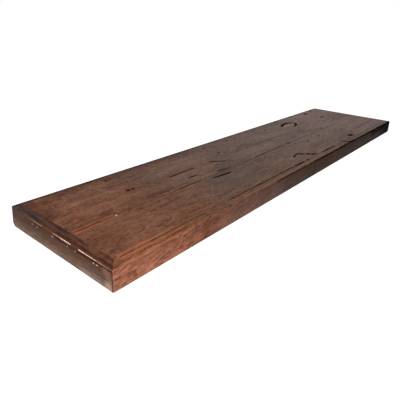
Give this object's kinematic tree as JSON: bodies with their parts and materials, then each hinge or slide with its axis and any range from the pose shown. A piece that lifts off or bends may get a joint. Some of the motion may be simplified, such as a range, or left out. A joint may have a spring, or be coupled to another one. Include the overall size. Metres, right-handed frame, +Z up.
{
  "type": "wall shelf",
  "caption": "Long flat floating wall shelf in dark-stained reclaimed wood, planks inside a mitred border, on a hidden steel rod bracket.",
  "frame": {"origin": "the middle of the bracket plate's back face, on the wall plane and level with the glue line between the two layers of planks", "axes": "+X along the shelf, to the right as one faces the wall; +Y out of the bracket's back, into the wall; +Z up"},
  "size_m": [1.2192, 0.2858, 0.0382],
  "materials": {
    "plank_stain": "dark walnut stain, satin",
    "border_stain": "dark reddish-brown stain, satin",
    "underside_stain": "dark walnut stain, thin and matt",
    "brad_steel": "bright wire",
    "bracket_paint": "black powder coat",
    "rod_steel": "plain drawn bar",
    "weld_steel": "weld ground flush"
  },
  "bodies": {
    "bracket": {"bracket_plate": "bracket_paint", "support_rod_1": "rod_steel", "support_rod_2": "rod_steel", "support_rod_3": "rod_steel", "support_rod_4": "rod_steel", "rod_welds": "weld_steel"},
    "shelf": {"top_plank_front": "plank_stain", "top_plank_middle": "plank_stain", "top_plank_back": "plank_stain", "bottom_plank_front": "underside_stain", "bottom_plank_middle": "underside_stain", "bottom_plank_back": "underside_stain", "front_edge_board": "border_stain", "left_end_board": "border_stain", "right_end_board": "border_stain", "left_end_brads": "brad_steel", "right_end_brads": "brad_steel", "front_edge_brads": "brad_steel", "left_mitre_pins": "brad_steel", "right_mitre_pins": "brad_steel"}
  },
  "joints": [
    {"name": "shelf_slide", "type": "slide", "parent": "bracket", "child": "shelf", "axis": [0, -1, 0], "range_m": [0, 0.215]}
  ]
}
